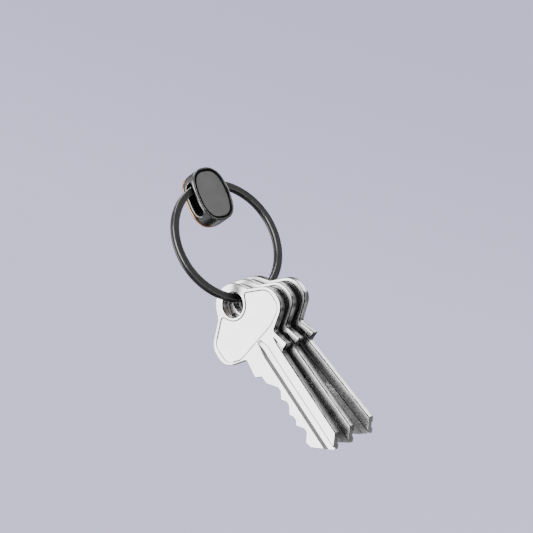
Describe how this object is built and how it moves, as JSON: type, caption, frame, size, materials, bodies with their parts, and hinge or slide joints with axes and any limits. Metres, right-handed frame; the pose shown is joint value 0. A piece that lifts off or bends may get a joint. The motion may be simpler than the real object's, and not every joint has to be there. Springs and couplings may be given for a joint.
{
  "type": "split key ring",
  "caption": "Flat double-coil split key ring with a slotted oval tab that slides round it and notched cylinder keys that hang and swing from it.",
  "frame": {"origin": "centre of the split ring, midway through its two coils", "axes": "+Z from the ring's centre to the tab at the top; the ring's axis lies along Y and its front face looks along -Y; +X is to the right seen from the front"},
  "size_m": [0.035, 0.0306, 0.0835],
  "materials": {
    "black_steel": "dark oxide over spring steel, satin, edges rubbed bright",
    "gunmetal": "dark polished plating on die-cast zinc",
    "inlay": "fine matt texture",
    "copper": "copper-coloured, satin edge",
    "nickel": "nickel plating, bright faces, milled satin edges"
  },
  "bodies": {
    "ring": {"split_ring": "black_steel"},
    "tab": {"tab_housing": "gunmetal", "tab_front_inlay": "inlay", "tab_back_plate": "copper"},
    "front_key": {"front_key": "nickel"},
    "middle_key": {"middle_key": "nickel"},
    "rear_key": {"rear_key": "nickel"}
  },
  "joints": [
    {"name": "tab_slide", "type": "hinge", "parent": "ring", "child": "tab", "pos_m": [0, 0, 0], "axis": [0, 1, 0], "range_deg": [-95, 115]},
    {"name": "front_key_swing", "type": "hinge", "parent": "ring", "child": "front_key", "pos_m": [-0.0056, 0.00066, -0.01734], "axis": [0.9552, 0.2734, -0.1136], "range_deg": [-75, 75]},
    {"name": "middle_key_swing", "type": "hinge", "parent": "ring", "child": "middle_key", "pos_m": [-0.00237, -0.00039, -0.0173], "axis": [0.9553, 0.2815, -0.09], "range_deg": [-75, 75]},
    {"name": "rear_key_swing", "type": "hinge", "parent": "ring", "child": "rear_key", "pos_m": [0.001, -0.00118, -0.01738], "axis": [0.9531, 0.3005, -0.0364], "range_deg": [-75, 75]}
  ]
}
